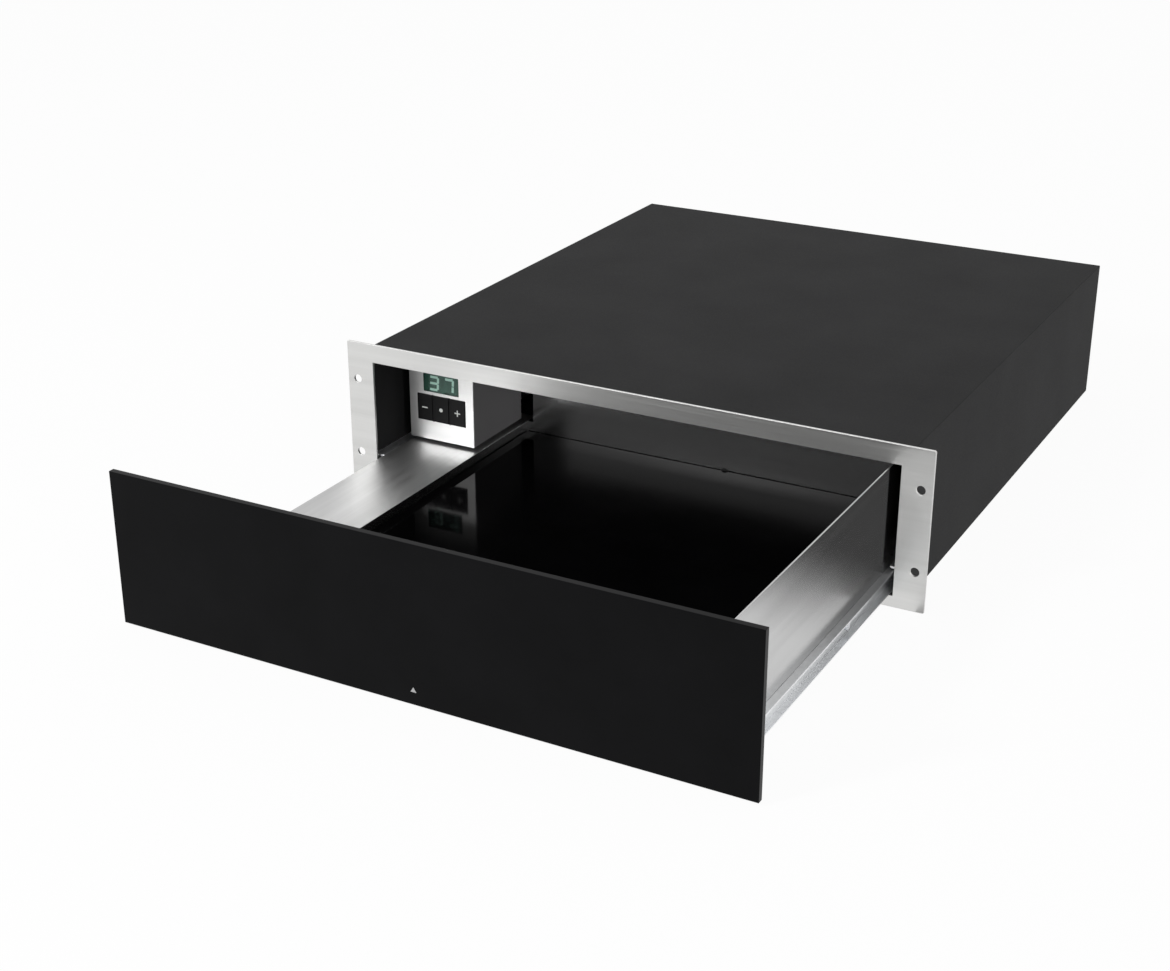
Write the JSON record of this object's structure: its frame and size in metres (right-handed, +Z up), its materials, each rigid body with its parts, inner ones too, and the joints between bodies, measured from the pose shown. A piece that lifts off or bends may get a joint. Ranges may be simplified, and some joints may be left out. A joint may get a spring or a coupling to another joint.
{
  "type": "speculum warmer",
  "caption": "Rack-width warming drawer: dark sheet case, stainless front frame with mounting ears, sliding tray with heated black glass plate, and a small control unit inside.",
  "frame": {"origin": "centre of the four ear holes, on the back face of the mounting ears", "axes": "+X to the right seen from the front, +Y from the front to the back, +Z up"},
  "size_m": [0.4826, 0.785, 0.1232],
  "materials": {
    "brushed_stainless": "satin brushed",
    "tray_stainless": "satin brushed",
    "face_stainless": "satin brushed",
    "black_powder_coat": "fine matt powder coat",
    "grey_paint": "satin",
    "zinc_plate": "bright zinc",
    "fastener_zinc": "bright zinc",
    "black_fastener": "black oxide",
    "steel_ball": "polished",
    "black_panel_glass": "gloss, black back print",
    "black_plate_glass": "gloss glass-ceramic",
    "silicone_black": "matt",
    "silicone_orange": "matt",
    "mineral_mat": "felted",
    "sensor_metal": "satin",
    "display_tint": "gloss, green tint",
    "display_body": "gloss",
    "key_black": "satin",
    "switch_black": "matt",
    "circuit_board": "solder resist",
    "component_mix": "matt",
    "nylon": "matt",
    "inlet_black": "satin",
    "inlet_brass": "plated",
    "lead_sheath": "satin",
    "latch_grey": "satin",
    "spring_steel": "polished wire"
  },
  "bodies": {
    "case": {"front_frame": "brushed_stainless", "frame_nuts": "fastener_zinc", "case_cover": "black_powder_coat", "base_pan": "black_powder_coat", "base_screws": "black_fastener", "rear_panel": "black_powder_coat", "rear_screws": "black_fastener", "slide_outer_left": "zinc_plate", "slide_outer_right": "zinc_plate", "slide_nuts": "fastener_zinc", "control_housing": "grey_paint", "control_faceplate": "face_stainless", "display_window": "display_tint", "display_module": "display_body", "tact_switches": "switch_black", "control_board": "circuit_board", "board_components": "component_mix", "board_spacers": "nylon", "supply_case": "zinc_plate", "supply_board": "component_mix", "mains_inlet": "inlet_black", "inlet_pins": "inlet_brass", "inlet_screws": "black_fastener", "lead_clip": "nylon", "heater_lead": "lead_sheath", "supply_lead": "lead_sheath", "control_lead": "lead_sheath", "mains_lead": "lead_sheath", "latch_body": "latch_grey", "latch_bracket": "zinc_plate", "latch_spring": "spring_steel"},
    "drawer": {"drawer_tray": "tray_stainless", "drawer_rear_wall": "tray_stainless", "rear_wall_rivets": "fastener_zinc", "front_glass": "black_panel_glass", "panel_backplate": "zinc_plate", "panel_bumpers": "silicone_black", "panel_screws": "fastener_zinc", "heating_plate": "black_plate_glass", "plate_gasket": "silicone_black", "plate_bearer": "zinc_plate", "heating_foil": "silicone_orange", "insulation_mat": "mineral_mat", "temperature_sensor": "sensor_metal", "thermal_cutout": "sensor_metal", "latch_strike": "zinc_plate", "lead_grommet": "silicone_black", "slide_inner_left": "zinc_plate", "slide_inner_right": "zinc_plate", "drawer_slide_screws": "fastener_zinc"},
    "cage_left": {"cage_left": "zinc_plate", "balls_left": "steel_ball"},
    "cage_right": {"cage_right": "zinc_plate", "balls_right": "steel_ball"},
    "button_minus": {"button_minus": "key_black"},
    "button_set": {"button_set": "key_black"},
    "button_plus": {"button_plus": "key_black"},
    "latch_plunger": {"latch_plunger": "latch_grey"}
  },
  "joints": [
    {"name": "drawer_slide", "type": "slide", "parent": "case", "child": "drawer", "axis": [0, 1, 0], "range_m": [0, 0.2715], "deforming": ["heater_lead"]},
    {"name": "cage_left_slide", "type": "slide", "parent": "case", "child": "cage_left", "axis": [0, 1, 0], "range_m": [0, 0.136]},
    {"name": "cage_right_slide", "type": "slide", "parent": "case", "child": "cage_right", "axis": [0, 1, 0], "range_m": [0, 0.136]},
    {"name": "button_minus_press", "type": "slide", "parent": "case", "child": "button_minus", "axis": [0, 1, 0], "range_m": [0, 0.0008], "stiffness_N_per_m": 400},
    {"name": "button_set_press", "type": "slide", "parent": "case", "child": "button_set", "axis": [0, 1, 0], "range_m": [0, 0.0008], "stiffness_N_per_m": 400},
    {"name": "button_plus_press", "type": "slide", "parent": "case", "child": "button_plus", "axis": [0, 1, 0], "range_m": [0, 0.0008], "stiffness_N_per_m": 400},
    {"name": "latch_plunger_press", "type": "slide", "parent": "case", "child": "latch_plunger", "axis": [0, 1, 0], "range_m": [0, 0.003], "stiffness_N_per_m": 300, "deforming": ["latch_spring"]}
  ],
  "couplings": [
    {"joint": "cage_left_slide", "follows": "drawer_slide", "ratio": 0.5},
    {"joint": "cage_right_slide", "follows": "drawer_slide", "ratio": 0.5}
  ]
}
